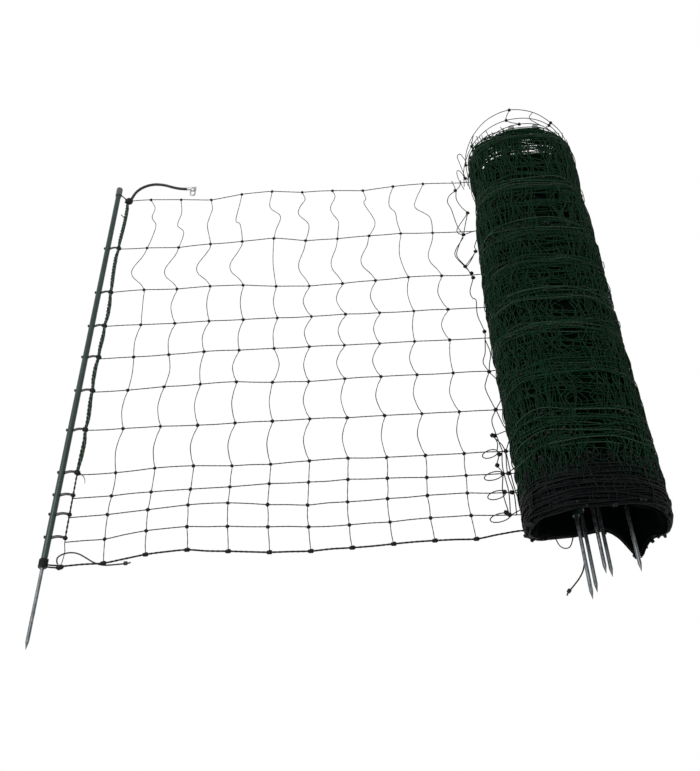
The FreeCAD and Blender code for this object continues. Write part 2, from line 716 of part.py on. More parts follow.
channel_clearance = 0.3
post_copies = {"tube": [], "spike": [], "cap": [], "channel": []}
for across, height, tip in rolled_posts:
    foot = roll_point(across, height, size("spike_reach") - tip)
    place = FreeCAD.Placement(foot, turn_from_z(roll_way))
    for kind, source in (("tube", plain_tube), ("spike", plain_spike), ("cap", plain_cap)):
        copy = source.Shape.copy()
        copy.Placement = place
        post_copies[kind].append(copy)
    room = Part.makeCylinder(tube_radius + channel_clearance, roll_length, foot, roll_way)
    post_copies["channel"].append(room)
channels = node("channel_tool", Part.makeCompound(post_copies["channel"]))
node("roll_post_tubes", Part.makeCompound(post_copies["tube"]))
node("roll_post_spikes", Part.makeCompound(post_copies["spike"]))
node("roll_post_caps", Part.makeCompound(post_copies["cap"]))

green = doc.addObject("Part::Cut", "roll_net_green")
green.Label = "roll_net_green"
green.Base = green_core
green.Tool = channels
opened = doc.addObject("Part::Cut", "opened_core")
opened.Base = black_core
opened.Tool = mouth
black = doc.addObject("Part::Cut", "roll_net_black")
black.Label = "roll_net_black"
black.Base = opened
black.Tool = channels
doc.recompute()

# Each row's strand is wound round the roll as a band of turns.
row_slip = 51.0
bands = {"green": [], "black": []}
for row in range(rows):
    start = row_y[row] - row_slip - roll_start.y - band_width / 2.0
    start = min(max(start, 0.0), roll_length - band_width)
    name = "black" if start + band_width < black_length else "green"
    outer = Part.makeBox(roll_width, band_width, roll_height, Vec(-roll_width / 2.0, 0.0, 0.0))
    inner = Part.makeBox(core_width, band_width, core_height, Vec(-core_width / 2.0, 0.0, band_thickness))
    long_outer = [edge for edge in outer.Edges if abs(edge.BoundBox.YLength - band_width) < 1e-6]
    long_inner = [edge for edge in inner.Edges if abs(edge.BoundBox.YLength - band_width) < 1e-6]
    ring = outer.makeFillet(size("roll_corner"), long_outer).cut(inner.makeFillet(core_corner, long_inner))
    ring.Placement = FreeCAD.Placement(roll_point(0.0, 0.0, start),
                                       FreeCAD.Rotation(Vec(0, 0, 1), -math.degrees(roll_lean)))
    bands[name].append(ring)
node("roll_bands_green", Part.makeCompound(bands["green"]))
node("roll_bands_black", Part.makeCompound(bands["black"]))
roll_solid = green.Shape.fuse(black.Shape)
band_solid = Part.makeCompound(bands["green"] + bands["black"])

# Strands from the hinge stay into the roll, each with an eye on the stay.
entries = []
for row in range(rows):
    y = crossing(row, hinge_column)[0].y + 9.0
    eye = Part.makeCylinder(stay_height, 2.4, at(hinge_x, y - 1.2, stay_height), Vec(0, 1, 0))
    arm = rod(at(hinge_x + 0.5, y, stay_height), at(hinge_x + 90.0, y - 20.0, 12.0), strand_radius)
    hole = Part.makeCylinder(stay_radius, 40.0, at(hinge_x, y - 20.0, stay_height), Vec(0, 1, 0))
    entries.append(eye.fuse(arm).cut(hole).cut(roll_solid).cut(band_solid))
entry_solids = []
for entry in entries:
    parts = sorted(entry.Solids, key=lambda solid: solid.BoundBox.XMin)
    entry_solids.append(parts[0])
node("entry_strands", Part.makeCompound(entry_solids))

# Bights of slack strand lying on the net beside the roll, one for each low row.
loop_radius = 13.0
loop_lift = 0.2
loops = []
for row in range(1, 5):
    y = crossing(row, hinge_column)[0].y - 5.0
    height = strand_height + 2.0 * strand_radius + loop_lift
    loops.append(Part.makeTorus(loop_radius, strand_radius, at(hinge_x - 36.0, y, height), Vec(0, 0, 1)))
node("side_loops", Part.makeCompound(loops))

# The outermost turns of the top strand stand off the roll's far end.
loose_route = [(-128.0, 92.0, 1119.0), (-124.0, 118.0, 1150.0), (-100.0, 160.0, 1196.0),
               (-56.0, 186.0, 1224.0), (0.0, 192.0, 1232.0), (52.0, 184.0, 1214.0),
               (98.0, 160.0, 1182.0), (124.0, 118.0, 1146.0), (128.0, 92.0, 1119.0)]
far_turn = cord([roll_point(*point) for point in loose_route], strand_radius)
node("loose_top_turn", far_turn.cut(roll_solid).cut(band_solid))

tail_height = bottom_radius + 0.3
tail_route = [(-11.0, -0.5), (-15.0, -17.0), (-24.0, -34.0), (-37.0, -50.0), (-48.0, -62.0)]
tail_points = [roll_point(across, tail_height, along) for across, along in tail_route]
node("tail_string", cord(tail_points, bottom_radius, free="tail_string"))
tail_way = (tail_points[-1] - tail_points[-2]).normalize()
node("tail_knot", end_knot(tail_points[-1] + Vec(0, 0, 1.6), tail_way))

# ---------------------------------------------------------------- check and write
doc.recompute()
wanted = ["end_post_tube", "end_post_cap", "end_post_spike", "end_post_pegs", "foot_binding", "foot_cord",
          "top_tie", "top_knot", "edge_rope_upper", "edge_rope_lower", "edge_stay_foot", "edge_knots",
          "foot_knot", "net_knots", "bottom_knots", "hinge_knots", "lead_cord", "lead_ferrule", "lead_link",
          "bottom_tie", "bottom_tie_knot", "stay_11", "entry_strands", "side_loops", "loose_top_turn",
          "tail_string", "tail_knot", "roll_net_green", "roll_net_black", "roll_bands_green",
          "roll_bands_black", "roll_post_tubes", "roll_post_spikes", "roll_post_caps"]
wanted += ["strand_%02d" % (row + 1) for row in range(rows)]
wanted += ["stay_%02d" % column for column in columns]
bad = []
for thing in doc.Objects:
    if "Invalid" in thing.State or "Error" in thing.State:
        bad.append(thing.Label)
for label in wanted:
    shape = doc.getObjectsByLabel(label)[0].Shape
    if shape.isNull() or not shape.isValid() or not shape.Solids:
        bad.append(label)
if bad:
    raise SystemExit("bad objects: %s" % ", ".join(bad))
for label in wanted:
    doc.getObjectsByLabel(label)[0].Shape.exportStep("parts/%s.step" % label)
low = Vec(9999.0, 9999.0, 9999.0)
high = low * -1.0
for label in wanted:
    box = doc.getObjectsByLabel(label)[0].Shape.BoundBox
    low = Vec(min(low.x, box.XMin), min(low.y, box.YMin), min(low.z, box.ZMin))
    high = Vec(max(high.x, box.XMax), max(high.y, box.YMax), max(high.z, box.ZMax))
print("nodes", len(wanted), "origin", origin, "low", low, "high", high)
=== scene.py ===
"""Looks of a poultry net laid half unrolled beside its end post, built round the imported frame."""

import math

import bpy
import numpy as np
from mathutils import Matrix


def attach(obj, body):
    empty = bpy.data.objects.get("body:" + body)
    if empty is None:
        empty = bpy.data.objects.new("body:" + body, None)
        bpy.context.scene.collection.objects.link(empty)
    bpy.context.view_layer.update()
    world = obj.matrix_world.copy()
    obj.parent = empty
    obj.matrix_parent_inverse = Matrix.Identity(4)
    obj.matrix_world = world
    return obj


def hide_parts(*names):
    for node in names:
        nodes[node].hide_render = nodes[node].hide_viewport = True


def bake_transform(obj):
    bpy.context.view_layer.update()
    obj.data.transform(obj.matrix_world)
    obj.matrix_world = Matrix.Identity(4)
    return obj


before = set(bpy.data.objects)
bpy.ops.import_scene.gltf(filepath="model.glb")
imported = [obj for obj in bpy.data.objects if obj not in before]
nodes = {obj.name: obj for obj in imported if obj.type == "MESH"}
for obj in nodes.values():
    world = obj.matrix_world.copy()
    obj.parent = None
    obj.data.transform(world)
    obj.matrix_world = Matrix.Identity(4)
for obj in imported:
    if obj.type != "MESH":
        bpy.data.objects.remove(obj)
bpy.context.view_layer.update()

rng = np.random.default_rng(7)

# Layout in millimetres: x runs along the net from its end rope, y up the net, z up from the floor.
ROW_ORIGIN = np.array([560.1656311777182, 494.5, 0.0])
NET_HEIGHT = 1120.0
HINGE_X = 880.0
ROW_Y = NET_HEIGHT * np.array([0, .049, .098, .141, .192, .294, .396, .488, .578, .681, .827, 1])
ROW_SHIFT = np.array([1, -3, -4.5, -2, 0, 2, .5, 3, 9, 5, -2.5, -10])
COLUMN_X = np.arange(12) * 80.0
# How far each knot lies above its level row, for columns 0 to 11.
KNOT_RISE = np.array([
    [-13, -10, 5, 11, 3, -4, -6, -3, 1, 4, 3, 16], [-12, -9, 6, 11, 7, 1, -4, -4, -2, 3, 4, 0],
    [-8, -5, 2, 9, 9, 0, -6, -3, 0, 3, 4, 0], [-9, -7, -2, 0, 1, 4, 3, 5, 3, 0, 0, 0],
    [-6, -5, 2, 3, -2, -3, 1, 3, 0, 0, 0, 0], [0, 0, 1, -1, 0, 0, 1, -1, 0, 0, 0, 0],
    [-4, -3, 2, 4, 6, -1, -4, -1, 0, 0, 0, 0], [-5, -4, -2, 2, 1, 1, 1, 0, 0, 1, 0, 0],
    [0, 0, -1, 1, 0, 0, -1, 1, 0, 0, 0, 0], [2, 6, 3, 7, 5, -5, -10, -7, -2, 4, 3, 0],
    [0, -1, -5, 2, 6, 12, -3, -2, 3, 6, 2, 0], [0, 2, -4, -11, 6, 12, 2, 2, -4, 7, 12, 8]], float)
# Sideways bows of the stays half way up each cell, for columns 1 to 10, from cell 5 upward.
STAY_BOW = np.array([
    [-8, -9, -11, -12, -10, -13, -11, -9, -13, -10], [-8, -10, -10, -9, -7, -13, -11, -15, -13, -14],
    [3, 7, -5, -12, 13, -12, -18, -17, -14, -3], [-6, -8, -10, -7, -6, -14, -16, -14, -4, -17],
    [0, -12, -7, -7, -8, -17, -18, -17, -8, -16], [-32, -31, -32, -30, -5, -21, -21, -27, -12, -21]], float)
# Bends of the stays in the top cell: share of the way down, sideways offset.
TOP_BENDS = {
    1: [(.17, 12), (.36, 6), (.54, 18), (.77, 11)], 2: [(.28, 3), (.53, -6), (.69, 11)],
    3: [(.2, 3), (.37, -3), (.59, -9)], 4: [(.2, -6), (.55, -16), (.64, -5)],
    5: [(.33, -7), (.54, 19), (.82, 6)], 6: [(.15, 6), (.29, -8), (.46, -13), (.68, 11)],
    7: [(.13, 5), (.33, -9), (.46, -7), (.65, 7), (.86, 3)], 8: [(.18, 5), (.29, -1), (.71, 20)],
    9: [(.23, -14), (.42, -17), (.55, -5), (.77, -4)], 10: [(.3, -25), (.48, -31), (.68, 1)]}
STRAND_Z, STRAND_R = 4.2, 1.1
BOTTOM_Z, BOTTOM_R = 4.5, 1.5
STAY_Z, STAY_R = 2.0, .9
ROPE_LEAN = math.tan(math.radians(.49))
ROPE_Z = 6.5
POST_START = np.array([-34.0, -16.0, 8.5])
POST_WAY = np.array([math.sin(math.radians(.83)), math.cos(math.radians(.83)), 0.0])
POST_R = 6.5
FOOT_Y = -15.0
ROLL_LEAN = math.radians(.87)
ROLL_X, ROLL_Y = 1010.0, -57.0
ROLL_HALF_WIDTH, ROLL_HALF_HEIGHT, ROLL_LENGTH = 136.0, 95.0, 1122.0
BLACK_LENGTH = 84.0
UP = np.array([0.0, 0.0, 1.0])
ROLL_WAY = np.array([math.sin(ROLL_LEAN), math.cos(ROLL_LEAN), 0.0])


def smooth(points, steps, closed=False):
    """Catmull-Rom line: every span is a cubic whose end slopes are half the step between its neighbours."""
    p = np.asarray(points, float)
    if closed:
        q = np.concatenate([p[..., -1:, :], p, p[..., :2, :]], axis=-2)
    else:
        before = 2 * p[..., :1, :] - p[..., 1:2, :]
        after = 2 * p[..., -1:, :] - p[..., -2:-1, :]
        q = np.concatenate([before, p, after], axis=-2)
    t = (np.arange(steps) / steps)[:, None]
    a, b, c, d = [q[..., k:q.shape[-2] - 3 + k, None, :] for k in range(4)]
    line = .5 * (2 * b + (c - a) * t + (2 * a - 5 * b + 4 * c - d) * t ** 2 + (3 * b - a - 3 * c + d) * t ** 3)
    line = line.reshape(p.shape[:-2] + (-1, 3))
    if closed:
        return line
    return np.concatenate([line, p[..., -1:, :]], axis=-2)


def tubes(lines, radius, up=UP, sides=6, closed=False, grooves=0, depth=0.0, pitch=12.0, flat=1.0):
    """Cords: a ring carried along every line. Ring point = line + r cos(a) side + flat r sin(a) lift,
    with r = radius (1 + depth cos(grooves (a - 2 pi s / pitch))) at length s along the line."""
    lines = np.asarray(lines, float)
    if lines.ndim == 2:
        lines = lines[None]
    count, length = lines.shape[:2]
    if closed:
        way = np.roll(lines, -1, axis=1) - np.roll(lines, 1, axis=1)
    else:
        way = np.gradient(lines, axis=1)
    way /= np.linalg.norm(way, axis=2, keepdims=True) + 1e-12
    side = np.cross(way, np.broadcast_to(up, lines.shape))
    side /= np.linalg.norm(side, axis=2, keepdims=True) + 1e-12
    lift = np.cross(side, way)
    step = np.linalg.norm(np.diff(lines, axis=1), axis=2)
    along = np.concatenate([np.zeros((count, 1)), np.cumsum(step, axis=1)], axis=1)
    angle = 2 * math.pi * np.arange(sides) / sides
    twist = grooves * (angle - 2 * math.pi * along[..., None] / pitch)
    r = np.broadcast_to(radius, (count, length))[..., None] * (1 + depth * np.cos(twist))
    ring = (r * np.cos(angle))[..., None] * side[:, :, None] + (flat * r * np.sin(angle))[..., None] * lift[:, :, None]
    verts = (lines[:, :, None] + ring).reshape(-1, 3)
    k, j, a = np.meshgrid(np.arange(count), np.arange(length if closed else length - 1), np.arange(sides), indexing="ij")
    here, there = (k * length + j) * sides, (k * length + (j + 1) % length) * sides
    after = (a + 1) % sides
    quads = np.stack([here + a, there + a, there + after, here + after], axis=-1).reshape(-1, 4)
    s0 = along[k, j]
    s1 = np.where(j + 1 < length, along[k, (j + 1) % length], s0 + 4.0)
    v0, v1 = a / sides, (a + 1) / sides
    uv = np.stack([np.stack([s0, v0], -1), np.stack([s1, v0], -1), np.stack([s1, v1], -1), np.stack([s0, v1], -1)], axis=-2)
    caps = []
    if not closed:
        first = (np.arange(count) * length * sides)[:, None] + np.arange(sides)
        last = first + (length - 1) * sides
        caps = first.tolist() + last[:, ::-1].tolist()
    return verts, quads, uv.reshape(-1, 4, 2) * [.001, 1], caps


def knots(centres, size, turn, lumps=2, across=12, down=7):
    """Tied knots: an egg with cord lumps. Point = centre + size * (1 + .16 sin(lumps u + 5 v)) * (unit ball at u, v), turned about z."""
    centres, size = np.asarray(centres, float), np.broadcast_to(size, (len(centres), 3))
    u = 2 * math.pi * np.arange(across) / across
    v = math.pi * (np.arange(down) / (down - 1))
    uu, vv = np.meshgrid(u, v)
    swell = 1 + .16 * np.sin(lumps * uu + 5 * vv) * np.sin(vv)
    ball = np.stack([np.sin(vv) * np.cos(uu), np.sin(vv) * np.sin(uu), np.cos(vv)], -1) * swell[..., None]
    ball = ball[None] * (size / 2)[:, None, None]
    turn = np.broadcast_to(turn, (len(centres),))[:, None, None]
    x = ball[..., 0] * np.cos(turn) - ball[..., 1] * np.sin(turn)
    y = ball[..., 0] * np.sin(turn) + ball[..., 1] * np.cos(turn)
    points = np.stack([x, y, ball[..., 2]], -1) + centres[:, None, None]
    ring_points = points[:, 1:-1].reshape(len(centres), -1, 3)
    poles = np.stack([points[:, 0, 0], points[:, -1, 0]], 1)
    verts = np.concatenate([ring_points, poles], axis=1).reshape(-1, 3)
    per_knot = (down - 2) * across + 2
    k, j, a = np.meshgrid(np.arange(len(centres)), np.arange(down - 3), np.arange(across), indexing="ij")
    base, after = k * per_knot + j * across, (a + 1) % across
    quads = np.stack([base + a, base + across + a, base + across + after, base + after], -1).reshape(-1, 4)
    start = (np.arange(len(centres)) * per_knot)[:, None]
    ring = np.arange(across)
    top = np.stack(np.broadcast_arrays(start + per_knot - 2, start + ring, start + (ring + 1) % across), -1)
    low = start + (down - 3) * across
    foot = np.stack(np.broadcast_arrays(start + per_knot - 1, low + (ring + 1) % across, low + ring), -1)
    caps = top.reshape(-1, 3).tolist() + foot.reshape(-1, 3).tolist()
    return verts, quads, np.zeros((len(quads), 4, 2)), caps


def piece(name, parts, material, body, replaced=(), smooth_faces=True):
    """Puts the parts' points and faces into one mesh, moved from net millimetres to row metres."""
    verts = np.concatenate([part[0] for part in parts])
    faces, corners, start = [], [], 0
    for points, quads, uv, caps in parts:
        faces += (quads + start).tolist()
        corners.append(uv.reshape(-1, 2))
        faces += [[corner + start for corner in cap] for cap in caps]
        corners.append(np.zeros((sum(len(cap) for cap in caps), 2)))
        start += len(points)
    mesh = bpy.data.meshes.new(name)
    mesh.from_pydata(((verts - ROW_ORIGIN) * .001).tolist(), [], faces)
    layer = mesh.uv_layers.new(name="cord")
    layer.data.foreach_set("uv", np.concatenate(corners).ravel())
    mesh.polygons.foreach_set("use_smooth", [smooth_faces] * len(mesh.polygons))
    mesh.materials.append(material)
    mesh.update()
    made = bpy.data.objects.new(name, mesh)
    bpy.context.collection.objects.link(made)
    if body:
        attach(made, body)
    if replaced:
        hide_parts(*replaced)
    return made


class Value:
    """One shader socket that is added, multiplied and compared like a number."""

    def __init__(self, tree, socket):
        self.tree, self.socket = tree, socket

    def node(self, kind, *inputs, out=0, **settings):
        made = self.tree.nodes.new(kind)
        for key, value in settings.items():
            setattr(made, key, value)
        for place, value in enumerate(inputs):
            if isinstance(value, Value):
                self.tree.links.new(value.socket, made.inputs[place])
            elif value is not None:
                made.inputs[place].default_value = value
        return Value(self.tree, made.outputs[out])

    def _math(self, operation, first, second=None):
        return self.node("ShaderNodeMath", first, second, operation=operation)

    def __add__(self, other):
        return self._math("ADD", self, other)

    def __sub__(self, other):
        return self._math("SUBTRACT", self, other)

    def __rsub__(self, other):
        return self._math("SUBTRACT", other, self)

    def __mul__(self, other):
        return self._math("MULTIPLY", self, other)

    __radd__, __rmul__ = __add__, __mul__

    def __gt__(self, other):
        return self._math("GREATER_THAN", self, other)

    def sine(self):
        return self._math("SINE", self)

    def between(self, low, high):
        """0 below low, 1 above high, a straight ramp between."""
        return self.node("ShaderNodeMapRange", self, low, high, 0.0, 1.0)

    def tint(self, low, high):
        """Colour low where self is 0, colour high where it is 1."""
        mixed = self.tree.nodes.new("ShaderNodeMix")
        mixed.data_type = "RGBA"
        self.tree.links.new(self.socket, mixed.inputs[0])
        for place, colour in ((6, low), (7, high)):
            if isinstance(colour, Value):
                self.tree.links.new(colour.socket, mixed.inputs[place])
            else:
                mixed.inputs[place].default_value = (*colour, 1)
        return Value(self.tree, mixed.outputs[2])


def plain(colour):
    """A colour given as 0 to 255 steps of the screen scale, turned to light amounts."""
    share = np.array(colour) / 255
    return tuple(np.where(share <= .04045, share / 12.92, ((share + .055) / 1.055) ** 2.4).tolist())


def finish_of(name, roughness, metallic=0.0, specular=.5):
    """A material, its shader and its object-space position."""
    material = bpy.data.materials.new(name)
    material.use_nodes = True
    tree = material.node_tree
    shader = tree.nodes["Principled BSDF"]
    shader.inputs["Roughness"].default_value = roughness
    shader.inputs["Metallic"].default_value = metallic
    shader.inputs["Specular IOR Level"].default_value = specular
    place = Value(tree, tree.nodes.new("ShaderNodeTexCoord").outputs["Object"])
    return material, tree, shader, place


def use(tree, shader, socket, value):
    tree.links.new(value.socket, shader.inputs[socket])


def speckle(place, scale, detail=3.0):
    """Cloudy noise, 0 to 1, of that many clouds a metre."""
    return place.node("ShaderNodeTexNoise", place, None, scale, detail, out=0)


def raised(place, height, strength, distance):
    """The surface's facing, tipped by a height pattern."""
    bump = place.node("ShaderNodeBump")
    node = bump.socket.node
    node.inputs["Strength"].default_value = strength
    node.inputs["Distance"].default_value = distance
    place.tree.links.new(height.socket, node.inputs["Height"])
    return bump


def cord_finish(name, dark, light, ply_pitch, bright=None, roughness=.55, specular=.2):
    """Twisted cord: two plies that wind once each ply_pitch millimetres, with painted shade in the grooves between
    them, painted highlight on their crests, and a thin bright wire.
    """
    material, tree, shader, place = finish_of(name, roughness, specular=specular)
    uv = place.node("ShaderNodeUVMap", uv_map="cord")
    split = place.node("ShaderNodeSeparateXYZ", uv)
    along = split
    around = Value(tree, split.socket.node.outputs[1])
    phase = 6.2832 * (2 * around) - along * (6.2832 * 1000 / ply_pitch)
    twist = phase.sine() * .5 + .5
    cloud = speckle(place, 90.0)
    # The colour follows the twist height: dark in the grooves is painted shade and light on the crests is painted
    # highlight, mixed with random clouds of tone.
    colour = (twist * .5 + cloud * .5).between(.25, .75).tint(plain(dark), plain(light))
    if bright:
        wire = (phase * .5 + 1.0).sine().between(.965, .99)
        colour = (wire * .6).tint(colour, plain(bright))
    use(tree, shader, "Base Color", colour)
    use(tree, shader, "Roughness", cloud * .3 + (roughness - .15))
    use(tree, shader, "Normal", raised(place, twist, .5, .0004))
    return material


def moulded_finish(name, dark, light, roughness, scale=60.0, worn=.0003, specular=.5):
    """Moulded plastic: two near shades in clouds with a fine grain."""
    material, tree, shader, place = finish_of(name, roughness, specular=specular)
    cloud = speckle(place, scale, 5.0)
    use(tree, shader, "Base Color", cloud.between(.3, .7).tint(plain(dark), plain(light)))
    use(tree, shader, "Roughness", cloud * .25 + (roughness - .12))
    use(tree, shader, "Normal", raised(place, speckle(place, 900.0, 4.0), .12, worn))
    return material


def steel_finish(name, dark, light, roughness):
    """Bare steel: drawn along y, with streaks and dull spots."""
    material, tree, shader, place = finish_of(name, roughness, metallic=.85)
    stretched = place.node("ShaderNodeMapping", place)
    stretched.socket.node.inputs["Scale"].default_value = (1, .06, 1)
    streak = speckle(stretched, 500.0, 4.0)
    spots = speckle(place, 120.0, 4.0)
    shade = (streak * .6 + spots * .4).between(.35, .62)
    use(tree, shader, "Base Color", shade.tint(plain(dark), plain(light)))
    use(tree, shader, "Roughness", spots * .35 + (roughness - .15))
    use(tree, shader, "Normal", raised(place, streak, .25, .0002))
    return material


# In each cord look the darker colour is painted shade in the grooves between plies and the lighter one is painted
# highlight on their crests, around the cord's own tone.
strand_cord = cord_finish("strand_cord", (8, 12, 11), (40, 50, 44), 9.0, bright=(120, 126, 120))
stay_cord_look = cord_finish("stay_cord_look", (9, 13, 12), (36, 44, 40), 6.0)
knot_look = moulded_finish("knot_look", (3, 5, 5), (14, 18, 16), .6, 300.0, specular=.2)
edge_green_look = cord_finish("edge_green_look", (16, 40, 30), (58, 84, 66), 12.0)
edge_black_look = cord_finish("edge_black_look", (7, 10, 9), (28, 34, 30), 12.0)
black_cord_look = cord_finish("black_cord_look", (5, 8, 8), (24, 29, 27), 12.0)
strap_look = moulded_finish("strap_look", (9, 11, 11), (24, 27, 26), .42)
roll_green_look = cord_finish("roll_green_look", (0, 5, 2), (12, 54, 32), 9.0, roughness=.55, specular=.1)
roll_pale_look = cord_finish("roll_pale_look", (8, 22, 14), (46, 72, 54), 9.0, roughness=.55, specular=.12)
roll_black_look = cord_finish("roll_black_look", (0, 1, 1), (9, 12, 14), 9.0, roughness=.5, specular=.1)
# Near-black core inside the roll: painted shade standing in for the shaded inner layers of the wound net.
core_shade_look = moulded_finish("core_shade_look", (0, 2, 1), (2, 9, 5), .95, 40.0, specular=.02)
tube_look = moulded_finish("tube_look", (2, 28, 24), (14, 46, 40), .34, 45.0)
cap_look = moulded_finish("cap_look", (40, 44, 43), (74, 78, 77), .5)
rolled_cap_look = moulded_finish("rolled_cap_look", (96, 100, 96), (140, 144, 140), .5)
spike_look = steel_finish("spike_look", (44, 50, 49), (128, 132, 136), .42)
connector_look = steel_finish("connector_look", (120, 120, 118), (214, 214, 210), .34)


def knot_at(row, column):
    """Middle of the knot where that row's strand and that column's stay cross."""
    shift = ROW_SHIFT[row] * np.clip((11 - column) / .999, 0, 1)
    return np.stack([COLUMN_X[column] + shift, ROW_Y[row] + KNOT_RISE[row, column]], -1)


def rope_x(y):
    return -1.0 + ROPE_LEAN * y


def strand_line(row, height, last_x=946.0):
    """A strand through its knots, sagging a little between them, out to the roll's underside."""
    columns = np.arange(1, 12)
    shift = np.where(columns < 11, ROW_SHIFT[row], 0)
    x = np.concatenate([[rope_x(ROW_Y[row])], COLUMN_X[columns] + shift, [912, last_x]])
    y = ROW_Y[row] + np.concatenate([[KNOT_RISE[row, 0]], KNOT_RISE[row, columns], [KNOT_RISE[row, 11] + 1, 0]])
    middle_x, middle_y = (x[1:] + x[:-1]) / 2, (y[1:] + y[:-1]) / 2 + rng.uniform(-1.2, 1.2, len(x) - 1)
    points = np.empty((2 * len(x) - 1, 3))
    points[0::2, 0], points[1::2, 0] = x, middle_x
    points[0::2, 1], points[1::2, 1] = y, middle_y
    points[:, 2] = height
    return smooth(points, 8)


strand_parts = [tubes(strand_line(row, STRAND_Z), STRAND_R, sides=8, grooves=2, depth=.12, pitch=18.0) for row in range(1, 12)]
net_strands = piece("net_strands", strand_parts, strand_cord, None,
                    ["strand_%02d" % n for n in range(2, 13)] + ["entry_strands"])
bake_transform(net_strands)
bottom_strand = piece("bottom_strand", [tubes(strand_line(0, BOTTOM_Z), BOTTOM_R + .3, sides=8, grooves=2, depth=.15, pitch=22.0)],
                      black_cord_look, None, ["strand_01"])
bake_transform(bottom_strand)


def stay_line(column):
    """A stay from the bottom row's knot to the top row's, bowed in each cell."""
    points = []
    for row in range(11):
        low = np.array([COLUMN_X[column] + ROW_SHIFT[row], ROW_Y[row] + KNOT_RISE[row, column]])
        high = np.array([COLUMN_X[column] + ROW_SHIFT[row + 1], ROW_Y[row + 1] + KNOT_RISE[row + 1, column]])
        points.append([*low, STAY_Z])
        if row == 10:
            bends = [(1 - share, offset) for share, offset in reversed(TOP_BENDS[column])]
        elif row >= 4:
            bow = STAY_BOW[row - 4, column - 1]
            bends = [(.2, bow * .55), (.5, bow), (.78, bow * .6)]
            if row == 9 and abs(bow) > 20:
                bends = [(.15, bow * .3), (.33, bow * .95), (.52, bow), (.8, bow * .3)]
        else:
            bends = [(.5, rng.uniform(-1.5, 1.5))]
        for share, offset in bends:
            at_share = low + (high - low) * share
            points.append([at_share[0] + offset, at_share[1], STAY_Z + rng.uniform(-.6, 1.0)])
        if row == 10:
            points.append([*high, STAY_Z])
    return smooth(points, 6)


stay_parts = [tubes(stay_line(column), STAY_R, sides=8, grooves=2, depth=.12, pitch=12.0) for column in range(1, 11)]
foot_stay = [(rope_x(0) + 1, -6, 3), (rope_x(20) + 3, 20, 3), (rope_x(40), 40, 3.6), (rope_x(56), 56, ROPE_Z)]
stay_parts.append(tubes(smooth(foot_stay, 6), STAY_R, sides=8))
piece("stays", stay_parts, stay_cord_look, "panel", ["stay_%02d" % n for n in range(1, 11)] + ["edge_stay_foot"])

upper = np.array([[COLUMN_X[c] + ROW_SHIFT[r], ROW_Y[r] + KNOT_RISE[r, c], 3.9] for r in range(1, 12) for c in range(1, 11)])
lower = np.array([[COLUMN_X[c] + ROW_SHIFT[0], ROW_Y[0] + KNOT_RISE[0, c], 4.4] for c in range(1, 11)])
knot_size = rng.uniform([7.4, 6.6, 6.0], [9.4, 8.6, 7.2], (len(upper), 3))
piece("panel_knots", [knots(upper, knot_size, rng.uniform(0, 3, len(upper)), 3),
                      knots(lower, [13.0, 9.0, 8.2], .1, 3)], knot_look, "panel",
      ["net_knots", "bottom_knots", "hinge_knots"])


def ply_lines(line, plies, first, spread, pitch):
    """Strands of a rope: the line plus spread (cos(2 pi s / pitch + phase), sin(...)) across it."""
    step = np.linalg.norm(np.diff(line, axis=0), axis=1)
    s = np.concatenate([[0], np.cumsum(step)])
    made = []
    for number in range(plies):
        turn = 2 * math.pi * (s / pitch + (first + number) / plies)
        made.append(line + np.stack([spread * np.cos(turn), np.zeros_like(s), spread * np.sin(turn)], -1))
    return np.array(made)


rope_y = np.arange(ROW_Y[4], NET_HEIGHT + 1, 3.0)
row_near = np.abs(rope_y[:, None] - ROW_Y[None, 4:]).min(axis=1)
bulge = 1.5 + 1.6 * np.clip(row_near / 40, 0, 1)
sway = 3 * np.sin((rope_y - 215) / 60)
thick_rope = np.stack([rope_x(rope_y) + sway * np.clip(row_near / 30, 0, 1), rope_y, np.full_like(rope_y, ROPE_Z)], -1)
thin_y = np.arange(ROW_Y[1], ROW_Y[4] + 1, 3.0)
thin_rope = np.stack([rope_x(thin_y), thin_y, np.full_like(thin_y, ROPE_Z)], -1)
loop = smooth([(9, 1004, 6), (14, 1018, 7), (13, 1036, 8), (6, 1050, 7), (-2, 1062, 6)], 6)
tail = smooth([(2, ROW_Y[4], 7), (10, ROW_Y[4] - 6, 5), (17, ROW_Y[4] - 16, 3), (19, ROW_Y[4] - 28, 2)], 6)
piece("edge_rope_green", [tubes(ply_lines(thick_rope, 4, 0, bulge, 46.0)[0:3:2], 1.9, sides=8, grooves=3, depth=.1, pitch=14.0),
                          tubes(loop, 1.3), tubes(tail, [np.linspace(1.3, .5, len(tail))])],
      edge_green_look, "panel", ["edge_rope_upper"])
piece("edge_rope_black", [tubes(ply_lines(thick_rope, 4, 0, bulge, 46.0)[1:4:2], 1.8, sides=8, grooves=3, depth=.1, pitch=14.0),
                          tubes(ply_lines(thin_rope, 2, 0, .9, 24.0), 1.2, sides=8)],
      edge_black_look, "panel", ["edge_rope_lower"])
edge_rows = np.arange(1, 12)
edge_centres = np.stack([rope_x(ROW_Y[edge_rows]), ROW_Y[edge_rows] + KNOT_RISE[edge_rows, 0] * .3, np.full(11, ROPE_Z)], -1)
edge_size = np.where(edge_rows[:, None] < 4, [9.0, 10.0, 8.0], [12.0, 15.0, 10.0])
piece("edge_knots_tied", [knots(edge_centres[:-1], edge_size[:-1], .5, 4, 16, 11),
                          knots([[rope_x(NET_HEIGHT) + 4, 1114, 8.5]], [20, 21, 16], .4, 4, 20, 13)],
      knot_look, "panel", ["edge_knots", "top_knot"])


def post_point(y, side=0.0, up=0.0):
    """A point beside the end post at net height y."""
    along = (y - POST_START[1]) / POST_WAY[1]
    return POST_START + POST_WAY * along + np.array([side, 0, up])


